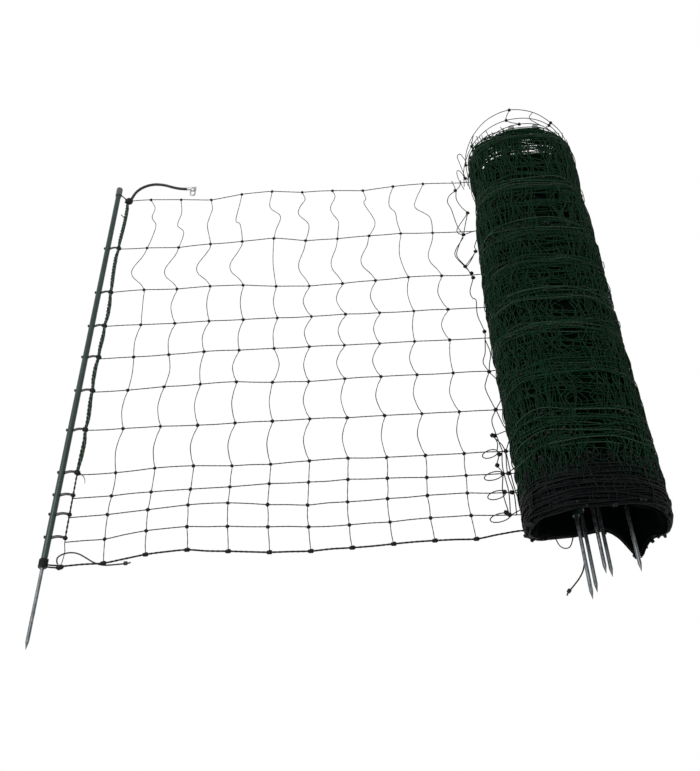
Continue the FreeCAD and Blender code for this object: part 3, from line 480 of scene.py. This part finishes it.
strap_parts = []
for row in range(1, 11):
    y = ROW_Y[row]
    centre = post_point(y)
    start = centre + [POST_R - .5, -2, 0]
    finish = np.array([rope_x(y) - 3, y + KNOT_RISE[row, 0] * .3 + 2, ROPE_Z])
    middle = (start + finish) / 2 + [0, 1.5, 1.0]
    strap = smooth([start, middle, finish], 8)
    strap_parts.append(tubes(strap, [np.linspace(3.9, 3.0, len(strap))], sides=12, flat=.38))
    knob = np.array([centre + [-POST_R - 3.6, -.5, 0], centre + [-POST_R + .6, -.2, 0]])
    strap_parts.append(tubes(smooth(knob, 5), [[1.2, 3.1, 3.4, 3.3, 3.0, 2.6]], sides=12))
piece("post_straps", strap_parts, strap_look, "end_post", ["end_post_pegs"])

wind_turn = np.linspace(0, 2 * math.pi * 6, 190)
wind_along = np.linspace(0, 1, 190)
wind_y = FOOT_Y - 1 + 18 * wind_along
wind_centre = POST_START + POST_WAY * ((wind_y - POST_START[1]) / POST_WAY[1])[:, None]
winding = wind_centre + np.stack([(POST_R + 1.2) * np.cos(wind_turn), 0 * wind_turn, (POST_R + 1.2) * np.sin(wind_turn)], -1)
piece("foot_winding", [tubes(winding, 1.5, up=POST_WAY, sides=8)], black_cord_look, "end_post", ["foot_binding"])
foot_line = smooth([(-27, -14, 8), (-20, -16, 8), (-12, -17, 8), (-6, -16, 5)], 6)
foot_twin = foot_line + [0, 4, 1.5]
piece("foot_tie", [tubes(np.array([foot_line, foot_twin]), 1.6, sides=8),
                   knots([[-2, -15, 5.2]], [15, 11, 9.6], .2, 4, 20, 13)], black_cord_look, "panel",
      ["foot_cord", "foot_knot"])


def free_cord(name, points, radius, material, slot_name, replaced):
    """A cord that hangs free of the net, as a smooth curve through its route points."""
    curve = bpy.data.curves.new(name, "CURVE")
    curve.dimensions = "3D"
    spline = curve.splines.new("NURBS")
    spline.points.add(len(points) - 1)
    placed = (np.array(points, float) - ROW_ORIGIN) * .001
    spline.points.foreach_set("co", np.column_stack([placed, np.ones(len(points))]).ravel())
    spline.order_u = 3
    spline.use_endpoint_u = True
    spline.resolution_u = 8
    curve.bevel_depth = radius * .001
    curve.bevel_resolution = 4
    curve.use_fill_caps = True
    curve.materials.append(material)
    made = bpy.data.objects.new(name, curve)
    bpy.context.collection.objects.link(made)
    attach(made, "panel" if slot_name != "tail" else "roll")
    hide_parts(replaced)
    # Points on each arc of the quadratic B-spline through these points, worked out here but not kept.
    t = np.linspace(0, 1, 40)[:, None]
    p = placed
    for k in range(len(p) - 2):
        a = p[k] if k == 0 else (p[k] + p[k + 1]) / 2
        c = p[k + 2] if k == len(p) - 3 else (p[k + 1] + p[k + 2]) / 2
        (1 - t) ** 2 * a + 2 * t * (1 - t) * p[k + 1] + t ** 2 * c
    return made


def cord_fibres(name, dark, light):
    """Cord fibres for a curve: slanted fine threads on object coordinates, with painted shade between the threads and
    painted highlight on their tops.
    """
    material, tree, shader, place = finish_of(name, .5, specular=.35)
    wave = place.node("ShaderNodeTexWave", place, 170.0, 3.0, 2.0, wave_type="BANDS", bands_direction="DIAGONAL", out=1)
    # The thread bands set both colour and bump: dark in the sunken lines is painted shade and light on the raised ones
    # is painted highlight.
    use(tree, shader, "Base Color", wave.tint(plain(dark), plain(light)))
    use(tree, shader, "Normal", raised(place, wave, .6, .0005))
    return material


free_cord_look = cord_fibres("free_cord_look", (7, 10, 10), (34, 39, 37))
lead_route = [(17.5, 2, 5.4), (21, 27, 3.9), (37, 55, 3.7), (66, 70, 3.7), (97, 66, 3.7), (127, 50, 3.7), (148, 42.5, 3.9), (163, 40.5, 4.4)]
free_cord("lead_cord_look", [(x, NET_HEIGHT + y, z) for x, y, z in lead_route], 3.6, free_cord_look, "black_cord",
          "lead_cord")
tie_route = [(-6, -9.6, 8.4), (-12, 3, 6), (-5, 15, 3), (10, 20.5, 1.6), (27, 18, 1.6), (44, 7, 1.6), (61, -6, 1.6),
             (80, -13.6, 1.6), (102, -13, 1.6), (120, -12, 1.6)]
free_cord("bottom_tie_look", tie_route, 1.5, free_cord_look, "black_cord", "bottom_tie")


def roll_place(across, height, along):
    """Roll coordinates to net millimetres: across its axis, up, and along it from its near end."""
    across, height, along = np.broadcast_arrays(across, height, along)
    x = ROLL_X + across * math.cos(ROLL_LEAN) + along * math.sin(ROLL_LEAN)
    y = ROLL_Y - across * math.sin(ROLL_LEAN) + along * math.cos(ROLL_LEAN)
    return np.stack([x, y, np.maximum(height, 1.3)], -1)


tail_route = roll_place(np.array([-11, -15, -24, -37, -48.0]), 1.8, np.array([-.5, -17, -34, -50, -62.0]))
free_cord("tail_string_look", tail_route, 1.5, free_cord_look, "tail", "tail_string")


def band_along(row):
    return ROW_Y[row] - 51 - ROLL_Y


BANDS = np.array([band_along(row) for row in range(12)])


def roll_skin(angle, along, grow):
    """Outline of the roll: a rounded box |x/a|^2.7 + |z/b|^2.7 = 1, narrower where the rows are tied and
    slumped flat below, grown outward by grow."""
    angle, along, grow = np.broadcast_arrays(angle, along, grow)
    near = np.abs(along[..., None] - BANDS).min(axis=-1)
    tied = 3.5 * np.clip(near / 45, 0, 1)
    c, s = np.cos(angle), np.sin(angle)
    taper = 1 - .035 * np.clip((along - 700) / 420, 0, 1)
    across = (ROLL_HALF_WIDTH * taper - 4 + tied + grow) * np.sign(c) * np.abs(c) ** .74
    height = ROLL_HALF_HEIGHT + (ROLL_HALF_HEIGHT - 3 + tied + grow) * np.sign(s) * np.abs(s) ** .78
    corner = 30 * np.clip(-c, 0, 1) * np.clip(-s, 0, 1) * 2 * np.exp(-np.clip(along + 60, 0, None) / 90)
    waist = -c * (9 * np.exp(-((along - 1000) / 60) ** 2) * (c < 0) + 6 * np.exp(-((along - 940) / 110) ** 2) * (c > 0))
    across = across + 3 * np.sin(along / 150 + 1.0) + corner + waist
    return roll_place(across, height, along)


def end_reach(angle):
    """How far the near end's rim stands forward of the upper lip: it falls back below, most in the fold between
    its left and right lobes."""
    low = np.clip(-np.sin(angle), 0, 1)
    c = np.cos(angle)
    return low * (-52 - 14 * np.exp(-((c - .16) / .18) ** 2) + 58 * np.exp(-((c - .6) / .19) ** 2))


# Core: a dark closed body just below the cords, with a mouth at its near end; its near-black colour is painted shade
# standing in for the shaded inner layers of the wound net.
grid_a = np.linspace(0, 2 * math.pi, 97)[:-1]
mouth_depth = 150.0
core_rings = []
for along in np.linspace(0, ROLL_LENGTH - 70, 90):
    forward = -end_reach(grid_a) * math.exp(-along / 60)
    rough = 2.5 * np.sin(7 * grid_a + along / 17) + 2 * np.sin(13 * grid_a - along / 9)
    core_rings.append(roll_skin(grid_a, along + forward, -9 + rough))
for along, grow in ((ROLL_LENGTH - 58, -20), (ROLL_LENGTH - 50, -38), (ROLL_LENGTH - 44, -65), (ROLL_LENGTH - 42, -92)):
    core_rings.append(roll_skin(grid_a, along + 0 * grid_a, grow))
inner_rings = []
for along, grow in ((mouth_depth, -93), (mouth_depth - 4, -75), (mouth_depth - 20, -50), (90, -36), (40, -27), (8, -20)):
    forward = -end_reach(grid_a) * math.exp(-along / 60)
    inner_rings.append(roll_skin(grid_a, along + forward, grow + 3 * np.sin(9 * grid_a + along)))
rings = np.array(inner_rings + core_rings)
ring_count, ring_size = rings.shape[:2]
j, a = np.meshgrid(np.arange(ring_count - 1), np.arange(ring_size), indexing="ij")
after = (a + 1) % ring_size
quads = np.stack([j * ring_size + a, j * ring_size + after, (j + 1) * ring_size + after, (j + 1) * ring_size + a], -1).reshape(-1, 4)
caps = [list(range(ring_size))[::-1], list(range((ring_count - 1) * ring_size, ring_count * ring_size))]
core = (rings.reshape(-1, 3), quads[:, ::-1], np.zeros((len(quads), 4, 2)), [cap[::-1] for cap in caps])
piece("roll_shade_core", [core], core_shade_look, "roll", ["roll_net_green", "roll_net_black"])


def roll_turns(count, along, spread, grow_low, grow_high, wave=5.0):
    """Turns round the roll: closed lines at an angle all round, weaving along by a few slow sines."""
    angle = np.linspace(0, 2 * math.pi, 97)[:-1][None]
    phase = rng.uniform(0, 6.28, (4, count, 1))
    along = np.broadcast_to(along, (count,))[:, None] + rng.uniform(-spread, spread, (count, 1))
    weave = np.sin(2 * angle + phase[0]) + .7 * np.sin(3 * angle + phase[1]) + .5 * np.sin(7 * angle + phase[2])
    along = along + wave * weave
    low = (along < 70)
    along = along - end_reach(angle) * np.exp(-np.clip(along, 0, None) / 60) * low
    grow = rng.uniform(grow_low, grow_high, (count, 1)) + 1.5 * np.sin(5 * angle + phase[3])
    return roll_skin(np.broadcast_to(angle, along.shape), along, grow)


turn_rows = np.repeat(np.arange(3, 12), [11, 15, 19, 19, 19, 19, 20, 22, 22])
green_turns = roll_turns(len(turn_rows), np.clip(BANDS[turn_rows] - 14 * (turn_rows < 5), 104, 1200), 24.0, -7.0, 1.5)
between = rng.uniform(100, 1090, 130)
loose_turns = roll_turns(130, between, 12.0, -8.0, -1.0, 9.0)
pale = rng.random(len(turn_rows)) < .28
piece("roll_turns_green", [tubes(green_turns[~pale], 1.25, up=ROLL_WAY, sides=5, closed=True)], roll_green_look, "roll",
      ["roll_bands_green"])
piece("roll_turns_loose", [tubes(loose_turns, 1.05, up=ROLL_WAY, sides=5, closed=True)], roll_green_look, "roll")
piece("roll_turns_pale", [tubes(green_turns[pale], 1.2, up=ROLL_WAY, sides=5, closed=True)], roll_pale_look, "roll")
black_turns = roll_turns(96, np.linspace(0, BLACK_LENGTH, 96), 4.0, -8.0, 1.0, 3.0)
piece("roll_turns_black", [tubes(black_turns, 1.5, up=ROLL_WAY, sides=5, closed=True)], roll_black_look, "roll",
      ["roll_bands_black"])


def roll_stays(count, first, last, bow, grow_low, grow_high):
    """Stays lying along the roll: straight between rows but bowed sideways, point = skin(angle + bow, along)."""
    rows = [row for row in range(12) if first <= BANDS[row] <= last]
    stops = BANDS[rows]
    along = np.sort(np.concatenate([stops, (stops[1:] + stops[:-1]) / 2, stops[:-1] + np.diff(stops) * .25, stops[:-1] + np.diff(stops) * .75]))
    base = rng.uniform(0, 2 * math.pi, (count, 1))
    near = np.abs(along[:, None] - stops).min(axis=1)
    angle = base + rng.normal(0, 1, (count, len(along))) * bow * (.3 + np.clip(near / 40, 0, 1.2))
    grow = rng.uniform(grow_low, grow_high, (count, 1)) + rng.uniform(-2, 2, (count, len(along)))
    reach = along + rng.uniform(-7, 7, (count, len(along)))
    reach = reach - np.where(reach < 70, end_reach(angle) * np.exp(-np.clip(reach, 0, None) / 60), 0)
    points = roll_skin(angle, reach, grow)
    outward = np.stack([np.cos(angle), 0 * angle, np.sin(angle)], -1)
    return smooth(points, 3), smooth(outward, 3)


for name in ("roll_stays_inner", "roll_stays_outer"):
    green_stays, green_up = roll_stays(150, BANDS[1], BANDS[11] + 1, .05, -7.0, 2.0)
    piece(name, [tubes(green_stays, .95, up=green_up, sides=4)], roll_green_look, "roll")
black_stays, black_up = roll_stays(170, -1, BANDS[2] + 1, .03, -7.0, 1.5)
piece("roll_stays_black", [tubes(black_stays, 1.2, up=black_up, sides=5)], roll_black_look, "roll")

# Knots scattered over the rows of the roll, where turns and stays are tied.
tie_rows = np.repeat(np.arange(12), 46)
tie_angle = rng.uniform(0, 2 * math.pi, len(tie_rows))
tie_along = BANDS[tie_rows] + rng.uniform(-13, 13, len(tie_rows))
tie_forward = np.where(tie_along < 70, -end_reach(tie_angle) * np.exp(-np.clip(tie_along, 0, None) / 60), 0)
tie_points = roll_skin(tie_angle, tie_along + tie_forward, rng.uniform(-5, 1, len(tie_rows)))
piece("roll_knots", [knots(tie_points, rng.uniform(6.5, 9.5, (len(tie_rows), 1)) * [1, 1, .9], rng.uniform(0, 3, len(tie_rows)), 3, 8, 5)],
      knot_look, "roll")

# Loose turns beyond the far end: arcs standing up behind the roll, with their stays and knots.
far_count = 64
far_angle = np.linspace(math.radians(-14), math.radians(200), 40)[None]
far_share = rng.uniform(0, 1, (far_count, 1))
far_phase = rng.uniform(0, 6.28, (3, far_count, 1))
far_along = ROLL_LENGTH - 42 + 78 * far_share * np.clip(np.sin(far_angle + .2), .25, 1) + 5 * np.sin(3 * far_angle + far_phase[0])
far_grow = -34 * rng.uniform(0, 1, (far_count, 1)) * (1 - .6 * far_share) + rng.uniform(-6, 4, (far_count, 1)) + 3 * np.sin(4 * far_angle + far_phase[1])
far_arcs = roll_skin(far_angle + 0 * far_share, far_along, far_grow)
far_stays_angle = np.linspace(math.radians(-8), math.radians(192), 120)[:, None] + rng.normal(0, .03, (120, 5))
far_stays_along = np.linspace(ROLL_LENGTH - 75, ROLL_LENGTH + 34, 5)[None] + rng.uniform(-10, 10, (120, 5)) - 26 * (np.sin(far_stays_angle) < .3)
far_stays = smooth(roll_skin(far_stays_angle, far_stays_along, rng.uniform(-30, 1, (120, 1)) + rng.uniform(-3, 3, (120, 5))), 5)
piece("far_mesh", [tubes(far_arcs, 1.15, up=ROLL_WAY, sides=5), tubes(far_stays, 1.0, sides=5, up=np.array([.3, 0, 1.0]))],
      roll_green_look, "roll")
outer_turn = [(-130, 80, 1096), (-134, 100, 1128), (-131, 118, 1158), (-112, 150, 1186), (-74, 178, 1212), (-18, 189, 1232), (40, 186, 1222),
              (84, 170, 1196), (112, 152, 1164), (124, 128, 1110), (132, 110, 1046), (137, 98, 940)]
second_turn = [(-140, 60, 1092), (-138, 92, 1130), (-118, 134, 1160), (-80, 166, 1182), (-30, 184, 1194), (28, 188, 1192), (76, 176, 1176), (112, 152, 1140)]
third_turn = [(-134, 84, 1086), (-112, 128, 1136), (-60, 168, 1164), (0, 186, 1172), (54, 182, 1168), (98, 162, 1146)]
ear_upper = [(-134, 62, 1124), (-146, 86, 1150), (-152, 96, 1172), (-142, 92, 1186), (-128, 84, 1160)]
ear_lower = [(-138, 40, 1106), (-152, 60, 1128), (-154, 66, 1148), (-146, 62, 1156), (-134, 52, 1140), (-126, 40, 1120)]


def roll_line(points, steps=8):
    """A smooth line through points given across, up and along the roll."""
    points = np.array(points, float)
    return smooth(roll_place(points[:, 0], points[:, 1], points[:, 2]), steps)


loose_lines = [roll_line(route) for route in (outer_turn, second_turn, third_turn, ear_upper, ear_lower)]
loose_ties = [roll_line([outer_turn[5], second_turn[4], third_turn[3]], 5), roll_line([outer_turn[6], second_turn[5], third_turn[4]], 5),
              roll_line([outer_turn[3], second_turn[2], third_turn[1]], 5)]
loose_knots = np.array([roll_place(*point) for point in (outer_turn[5], outer_turn[7], outer_turn[1], second_turn[4], second_turn[6],
                                                         second_turn[2], third_turn[3], outer_turn[9], ear_upper[0], third_turn[1])])
# The roll's right flank sheds small loops of stay cord.
flank_parts = []
for along, reach, long in ((40, 12, 34), (66, 15, 40), (96, 10, 26), (215, 10, 42), (330, 9, 50), (545, 11, 44), (610, 8, 60),
                           (742, 12, 46), (800, 10, 60), (905, 9, 80), (1000, 8, 90)):
    route = [(126, 70, along - long / 2), (136 + reach * .7, 84, along - long * .3), (136 + reach, 88, along),
             (136 + reach * .8, 84, along + long * .3), (126, 72, along + long / 2)]
    flank_parts.append(tubes(roll_line(route), .95, sides=6))
flank_knots = np.array([roll_place(139, 86, along) for along in (44, 84, 300, 560, 735, 905, 1002)])
rim_loop = smooth([(950, -9, 12), (958, -22, 4), (968, -27, 2), (978, -23, 3), (985, -8, 10)], 8)
piece("loose_turns", [tubes(line, 1.0) for line in loose_lines + loose_ties] + flank_parts + [tubes(rim_loop, 1.2)],
      stay_cord_look, "roll", ["loose_top_turn"])
tail_root = roll_line([(-11, 1.8, -.5), (-10, 1.8, 30), (-8, 2.2, 60), (-8, 3, 90)])
piece("tail_root", [tubes(tail_root, 1.4)], black_cord_look, "roll")
piece("loose_knots", [knots(np.concatenate([loose_knots, flank_knots]), [8.5, 8.5, 8], .4, 3)], knot_look, "roll")

# Slack stays tangled on the floor between the panel and the roll.
slack_routes = [
    [(867, 1138), (873, 1096), (871, 1060), (880, 1027), (894, 1001)],
    [(891, 1139), (885, 1114), (872, 1096), (854, 1075), (847, 1048), (854, 1016), (862, 949), (874, 914)],
    [(894, 1001), (868, 953), (860, 936), (861, 923), (874, 914)], [(873, 906), (850, 861), (846, 833), (865, 795), (876, 770), (880, 754)],
    [(918, 930), (897, 870), (897, 849), (865, 795)], [(880, 752), (867, 705), (870, 682), (878, 674), (875, 622), (885, 568), (883, 543)],
    [(874, 914), (856, 868), (850, 834), (868, 792), (880, 752)], [(894, 1001), (884, 960), (874, 914)], [(874, 914), (900, 926), (930, 932)],
    [(897, 849), (880, 812), (868, 792)], [(883, 543), (878, 500), (870, 470), (880, 442)], [(883, 543), (890, 500), (884, 468), (880, 442)],
    [(880, 442), (870, 415), (866, 390), (880, 330)], [(880, 442), (897, 410), (900, 372), (880, 330)], [(880, 330), (868, 300), (872, 262), (880, 215)],
    [(864, 262), (872, 240), (868, 215)], [(880, 330), (892, 280), (905, 262)], [(868, 258), (898, 272), (912, 278)],
    [(866, 254), (880, 234), (886, 215)], [(886, 215), (900, 250), (912, 268)], [(886, 215), (882, 158), (888, 110), (886, 55)],
    [(886, 215), (892, 110), (912, 0)], [(872, 208), (864, 180), (872, 158), (866, 112), (872, 56)], [(878, 215), (874, 170), (878, 112), (874, 56)],
    [(880, 158), (900, 172), (916, 186)], [(884, 110), (906, 118), (922, 112)], [(874, 56), (905, 70), (930, 62)]]
slack_lines = []
for route in slack_routes:
    flat_route = np.array(route, float)
    slack_lines.append(smooth(np.column_stack([flat_route, rng.uniform(2.2, 5.5, len(flat_route))]), 8))
side_loop_parts = []
turn = np.linspace(0, 2 * math.pi, 25)[:-1]
for row, width in zip((1, 2, 3, 4), (20, 18, 19, 16)):
    y = ROW_Y[row]
    loop_line = np.stack([853 + width * np.cos(turn), y - 5 + 9 * np.sin(turn) + 3 * np.cos(turn), 4.5 + 2.5 * np.sin(turn + 1)], -1)
    side_loop_parts.append(tubes(loop_line, 1.2, closed=True))
piece("slack_loops", side_loop_parts, stay_cord_look, "panel", ["side_loops"])
slack_knots = np.array([(872, 1096, 4), (894, 1001, 4), (874, 914, 5), (865, 795, 4), (878, 770, 4), (880, 752, 5), (885, 568, 4), (897, 849, 4),
                        (880, 442, 4), (880, 330, 4), (868, 258, 4), (864, 260, 4), (886, 215, 5), (872, 208, 4), (884, 158, 4), (872, 158, 4),
                        (884, 110, 4), (870, 112, 4), (872, 56, 4), (866, 62, 4), (912, 0, 5), (912, 268, 4), (864, 180, 4)], float)
piece("slack_stays", [tubes(line, 1.15) for line in slack_lines], stay_cord_look, "roll", ["stay_11"])
piece("slack_knots", [knots(slack_knots, [10.5, 9.5, 7.5], rng.uniform(0, 3, len(slack_knots)), 3)], knot_look, "roll")

for name, look in (("end_post_tube", tube_look), ("end_post_cap", cap_look), ("end_post_spike", spike_look), ("roll_post_tubes", tube_look),
                   ("roll_post_spikes", spike_look), ("roll_post_caps", rolled_cap_look), ("lead_ferrule", connector_look),
                   ("lead_link", connector_look), ("top_tie", black_cord_look), ("bottom_tie_knot", free_cord_look), ("tail_knot", free_cord_look)):
    if name in nodes:
        nodes[name].data.materials.clear()
        nodes[name].data.materials.append(look)

# Stage: a white floor, a soft lamp at the upper left and even sky light.
floor_mesh = bpy.data.meshes.new("floor")
floor_mesh.from_pydata([(-40, -40, -.003), (40, -40, -.003), (40, 40, -.003), (-40, 40, -.003)], [], [(0, 1, 2, 3)])
floor = bpy.data.objects.new("floor", floor_mesh)
bpy.context.collection.objects.link(floor)
floor_look = bpy.data.materials.new("floor_look")
floor_look.use_nodes = True
tree = floor_look.node_tree
shader = tree.nodes["Principled BSDF"]
shader.inputs["Base Color"].default_value = (.82, .82, .82, 1)
shader.inputs["Roughness"].default_value = .8
rays = Value(tree, tree.nodes.new("ShaderNodeLightPath").outputs["Is Camera Ray"])
glossy = Value(tree, rays.socket.node.outputs["Is Glossy Ray"])
through = Value(tree, rays.socket.node.outputs["Is Transmission Ray"])
white = tree.nodes.new("ShaderNodeEmission")
white.inputs["Color"].default_value = (1, 1, 1, 1)
mixed = rays.node("ShaderNodeMixShader", (rays + glossy + through) > .5)
tree.links.new(shader.outputs[0], mixed.socket.node.inputs[1])
tree.links.new(white.outputs[0], mixed.socket.node.inputs[2])
tree.links.new(mixed.socket, tree.nodes["Material Output"].inputs["Surface"])
floor_mesh.materials.append(floor_look)

lamp_data = bpy.data.lights.new("soft_lamp", "AREA")
lamp_data.energy = 48
lamp_data.size = 1.8
lamp = bpy.data.objects.new("soft_lamp", lamp_data)
bpy.context.collection.objects.link(lamp)
lamp.location = (-1.3, .4, 2.4)
lamp.rotation_euler = (math.radians(-10), math.radians(-28), 0)
world = bpy.data.worlds.new("sky")
bpy.context.scene.world = world
world.use_nodes = True
world.node_tree.nodes["Background"].inputs["Color"].default_value = (1, 1, 1, 1)
world.node_tree.nodes["Background"].inputs["Strength"].default_value = .75

pitch, yaw, roll = math.radians(47.44), math.radians(-.166), math.radians(2.98)
forward = np.array([math.sin(yaw) * math.cos(pitch), math.cos(yaw) * math.cos(pitch), -math.sin(pitch)])
level = np.array([math.cos(yaw), -math.sin(yaw), 0])
down = np.cross(forward, level)
right = math.cos(roll) * level + math.sin(roll) * down
below = -math.sin(roll) * level + math.cos(roll) * down
camera_data = bpy.data.cameras.new("camera")
camera_data.lens = 49.68
camera = bpy.data.objects.new("camera", camera_data)
bpy.context.collection.objects.link(camera)
seat = Matrix.Identity(4)
for axis, way in enumerate((right, -below, -forward)):
    for place in range(3):
        seat[place][axis] = way[place]
seat.translation = (.015834, -1.6535, 1.725)
camera.matrix_world = seat
bpy.context.scene.camera = camera
bpy.context.scene.view_settings.view_transform = "Standard"
